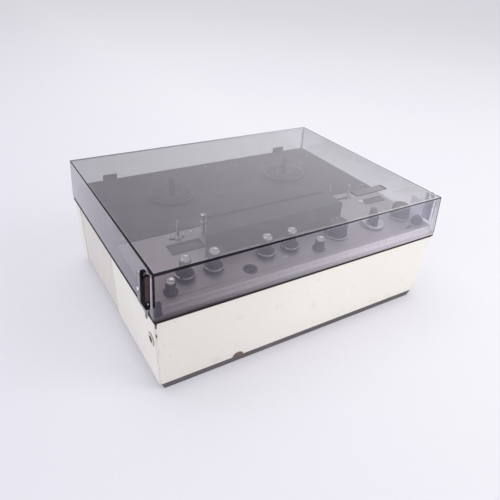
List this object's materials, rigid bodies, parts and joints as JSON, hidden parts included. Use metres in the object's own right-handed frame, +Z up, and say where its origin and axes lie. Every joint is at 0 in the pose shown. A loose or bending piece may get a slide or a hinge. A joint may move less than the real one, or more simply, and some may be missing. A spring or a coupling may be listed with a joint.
{
  "type": "reel-to-reel tape recorder",
  "caption": "Portable open-reel tape recorder: tapered wooden case with fluted side grilles, sloping metal control panel, turntables with spindles and a hinged smoked cover.",
  "frame": {"origin": "centre of the bounding box's base, on the floor under the feet", "axes": "+X along the length, to the right seen from the controls; -Y the front edge with the controls; +Z up"},
  "size_m": [0.4472, 0.3332, 0.1733],
  "materials": {
    "lacquered_wood": "cream satin lacquer",
    "grille_plastic": "satin taupe",
    "speaker": "matt",
    "pan_enamel": "dark satin",
    "rubber": "matt",
    "plated_steel": "bright",
    "black_moulding": "satin",
    "zinc_steel": "dull",
    "deck_enamel": "fine texture",
    "panel_metal": "brushed",
    "socket_black": "satin",
    "smoked_cover": "smoked, polished",
    "latch_black": "gloss",
    "turntable_black": "semi-gloss",
    "bearing_brass": "turned",
    "head_metal": "polished",
    "hood_black": "semi-gloss",
    "flywheel_zinc": "turned",
    "motor_steel": "satin",
    "core_steel": "varnished",
    "circuit_board": "varnished",
    "needle_red": "matt",
    "clear_pane": "clear, polished",
    "wheel_black": "satin",
    "key_white": "gloss",
    "knob_black": "gloss",
    "knob_metal": "turned and polished"
  },
  "bodies": {
    "root": {"case_shell": "lacquered_wood", "left_grille": "grille_plastic", "right_grille": "grille_plastic", "loudspeakers": "speaker", "bottom_pan": "pan_enamel", "rubber_feet": "rubber", "studs_and_screws": "plated_steel", "chassis_rim": "black_moulding", "chassis_plate": "zinc_steel", "deck_plate": "deck_enamel", "control_panel": "panel_metal", "connector_plate": "zinc_steel", "din_sockets": "socket_black", "mains_inlet": "socket_black", "hinge_leaves": "plated_steel", "hinge_pins": "plated_steel", "spindle_bearings": "bearing_brass", "tape_heads": "head_metal", "head_cover": "hood_black", "guide_posts": "plated_steel", "drive_motor": "motor_steel", "drive_belt": "rubber", "transformer": "core_steel", "amplifier_board": "circuit_board", "level_meter": "black_moulding", "display_windows": "clear_pane", "counter_frame": "black_moulding", "control_pots": "zinc_steel"},
    "dust_cover": {"dust_cover": "smoked_cover", "cover_hinge_straps": "plated_steel"},
    "right_latch": {"right_latch": "latch_black"},
    "left_latch": {"left_latch": "latch_black"},
    "supply_turntable": {"supply_turntable": "turntable_black"},
    "takeup_turntable": {"takeup_turntable": "turntable_black"},
    "flywheel": {"flywheel": "flywheel_zinc"},
    "motor_pulley": {"motor_pulley": "bearing_brass"},
    "pinch_arm": {"pinch_arm": "zinc_steel"},
    "pinch_roller": {"pinch_roller": "rubber"},
    "left_tension_arm": {"left_tension_arm": "plated_steel"},
    "right_tension_arm": {"right_tension_arm": "plated_steel"},
    "meter_needle": {"meter_needle": "needle_red"},
    "units_wheel": {"units_wheel": "wheel_black"},
    "tens_wheel": {"tens_wheel": "wheel_black"},
    "hundreds_wheel": {"hundreds_wheel": "wheel_black"},
    "reset_button": {"reset_button": "key_white"},
    "mixer_ring_1": {"mixer_ring_1": "knob_metal"},
    "mixer_cap_1": {"mixer_cap_1": "knob_black"},
    "mixer_ring_2": {"mixer_ring_2": "knob_metal"},
    "mixer_cap_2": {"mixer_cap_2": "knob_black"},
    "mixer_ring_3": {"mixer_ring_3": "knob_metal"},
    "mixer_cap_3": {"mixer_cap_3": "knob_black"},
    "mixer_ring_4": {"mixer_ring_4": "knob_metal"},
    "mixer_cap_4": {"mixer_cap_4": "knob_black"},
    "bass_knob": {"bass_knob": "knob_black"},
    "treble_knob": {"treble_knob": "knob_black"},
    "selector_knob": {"selector_knob": "knob_metal"},
    "transport_lever": {"transport_lever": "knob_metal"},
    "volume_knob": {"volume_knob": "knob_metal"},
    "slide_switch": {"slide_switch": "knob_black"},
    "power_button": {"power_button": "knob_metal"}
  },
  "joints": [
    {"name": "lid_open", "type": "hinge", "parent": "root", "child": "dust_cover", "pos_m": [0, 0.16445, 0.1146], "axis": [-1, 0, 0], "range_deg": [0, 90]},
    {"name": "right_latch_swing", "type": "hinge", "parent": "dust_cover", "child": "right_latch", "pos_m": [0.21841, -0.1535, 0.16809], "axis": [0, -1, 0], "range_deg": [0, 30]},
    {"name": "left_latch_swing", "type": "hinge", "parent": "dust_cover", "child": "left_latch", "pos_m": [-0.21841, -0.1535, 0.16809], "axis": [0, 1, 0], "range_deg": [0, 30]},
    {"name": "supply_turntable_spin", "type": "hinge", "parent": "root", "child": "supply_turntable", "pos_m": [-0.097, 0.064, 0.137], "axis": [0, 0, 1], "continuous": true},
    {"name": "takeup_turntable_spin", "type": "hinge", "parent": "root", "child": "takeup_turntable", "pos_m": [0.103, 0.064, 0.137], "axis": [0, 0, 1], "continuous": true},
    {"name": "capstan_spin", "type": "hinge", "parent": "root", "child": "flywheel", "pos_m": [0.06, -0.066, 0.0897], "axis": [0, 0, 1], "continuous": true},
    {"name": "motor_spin", "type": "hinge", "parent": "root", "child": "motor_pulley", "pos_m": [-0.04, -0.02, 0.0957], "axis": [0, 0, 1], "continuous": true},
    {"name": "pinch_arm_swing", "type": "hinge", "parent": "root", "child": "pinch_arm", "pos_m": [0.09, -0.038, 0.1475], "axis": [0, 0, 1], "range_deg": [0, 11.4], "stiffness_Nm_per_rad": 0.02},
    {"name": "pinch_roller_spin", "type": "hinge", "parent": "pinch_arm", "child": "pinch_roller", "pos_m": [0.06, -0.0499, 0.1475], "axis": [0, 0, 1], "continuous": true},
    {"name": "left_tension_swing", "type": "hinge", "parent": "root", "child": "left_tension_arm", "pos_m": [-0.1375, -0.015, 0.1157], "axis": [0, 0, 1], "range_deg": [-17, 13], "stiffness_Nm_per_rad": 0.005},
    {"name": "right_tension_swing", "type": "hinge", "parent": "root", "child": "right_tension_arm", "pos_m": [0.141, -0.014, 0.1157], "axis": [0, 0, 1], "range_deg": [-36, 0], "stiffness_Nm_per_rad": 0.005},
    {"name": "needle_swing", "type": "hinge", "parent": "root", "child": "meter_needle", "pos_m": [-0.1348, -0.08469, 0.12546], "axis": [0, -0.048, 0.9988], "range_deg": [-48, 0], "stiffness_Nm_per_rad": 0.0001},
    {"name": "units_wheel_turn", "type": "hinge", "parent": "root", "child": "units_wheel", "pos_m": [0.1835, -0.06855, 0.12293], "axis": [1, 0, 0], "continuous": true},
    {"name": "tens_wheel_turn", "type": "hinge", "parent": "root", "child": "tens_wheel", "pos_m": [0.1835, -0.06855, 0.12293], "axis": [1, 0, 0], "continuous": true},
    {"name": "hundreds_wheel_turn", "type": "hinge", "parent": "root", "child": "hundreds_wheel", "pos_m": [0.1835, -0.06855, 0.12293], "axis": [1, 0, 0], "continuous": true},
    {"name": "reset_press", "type": "slide", "parent": "root", "child": "reset_button", "axis": [0, 0.048, -0.9988], "range_m": [0, 0.002], "stiffness_N_per_m": 200, "springref_m": -0.001},
    {"name": "mixer_ring_1_turn", "type": "hinge", "parent": "root", "child": "mixer_ring_1", "pos_m": [-0.1625, -0.1255, 0.12951], "axis": [0, -0.048, 0.9988], "range_deg": [-140, 140]},
    {"name": "mixer_cap_1_turn", "type": "hinge", "parent": "root", "child": "mixer_cap_1", "pos_m": [-0.1625, -0.1255, 0.12951], "axis": [0, -0.048, 0.9988], "range_deg": [-140, 140]},
    {"name": "mixer_ring_2_turn", "type": "hinge", "parent": "root", "child": "mixer_ring_2", "pos_m": [-0.1255, -0.1255, 0.12951], "axis": [0, -0.048, 0.9988], "range_deg": [-140, 140]},
    {"name": "mixer_cap_2_turn", "type": "hinge", "parent": "root", "child": "mixer_cap_2", "pos_m": [-0.1255, -0.1255, 0.12951], "axis": [0, -0.048, 0.9988], "range_deg": [-140, 140]},
    {"name": "mixer_ring_3_turn", "type": "hinge", "parent": "root", "child": "mixer_ring_3", "pos_m": [-0.0525, -0.1255, 0.12951], "axis": [0, -0.048, 0.9988], "range_deg": [-140, 140]},
    {"name": "mixer_cap_3_turn", "type": "hinge", "parent": "root", "child": "mixer_cap_3", "pos_m": [-0.0525, -0.1255, 0.12951], "axis": [0, -0.048, 0.9988], "range_deg": [-140, 140]},
    {"name": "mixer_ring_4_turn", "type": "hinge", "parent": "root", "child": "mixer_ring_4", "pos_m": [-0.0155, -0.1255, 0.12951], "axis": [0, -0.048, 0.9988], "range_deg": [-140, 140]},
    {"name": "mixer_cap_4_turn", "type": "hinge", "parent": "root", "child": "mixer_cap_4", "pos_m": [-0.0155, -0.1255, 0.12951], "axis": [0, -0.048, 0.9988], "range_deg": [-140, 140]},
    {"name": "bass_knob_turn", "type": "hinge", "parent": "root", "child": "bass_knob", "pos_m": [-0.1875, -0.1425, 0.12869], "axis": [0, -0.048, 0.9988], "range_deg": [-140, 140]},
    {"name": "treble_knob_turn", "type": "hinge", "parent": "root", "child": "treble_knob", "pos_m": [0.0195, -0.142, 0.12872], "axis": [0, -0.048, 0.9988], "range_deg": [-140, 140]},
    {"name": "selector_knob_turn", "type": "hinge", "parent": "root", "child": "selector_knob", "pos_m": [0.063, -0.1235, 0.1296], "axis": [0, -0.048, 0.9988], "range_deg": [-75, 75]},
    {"name": "transport_lever_turn", "type": "hinge", "parent": "root", "child": "transport_lever", "pos_m": [0.13, -0.124, 0.12958], "axis": [0, -0.048, 0.9988], "range_deg": [-60, 60]},
    {"name": "volume_knob_turn", "type": "hinge", "parent": "root", "child": "volume_knob", "pos_m": [0.185, -0.123, 0.12963], "axis": [0, -0.048, 0.9988], "range_deg": [-140, 140]},
    {"name": "slide_switch_travel", "type": "slide", "parent": "root", "child": "slide_switch", "axis": [1, 0, 0], "range_m": [-0.007, 0.007]},
    {"name": "power_press", "type": "slide", "parent": "root", "child": "power_button", "axis": [0, 0.048, -0.9988], "range_m": [0, 0.003], "stiffness_N_per_m": 300, "springref_m": -0.001}
  ],
  "couplings": [
    {"joint": "motor_spin", "follows": "capstan_spin", "ratio": 5.5},
    {"joint": "units_wheel_turn", "follows": "takeup_turntable_spin", "ratio": 0.05},
    {"joint": "tens_wheel_turn", "follows": "takeup_turntable_spin", "ratio": 0.005},
    {"joint": "hundreds_wheel_turn", "follows": "takeup_turntable_spin", "ratio": 0.0005}
  ]
}
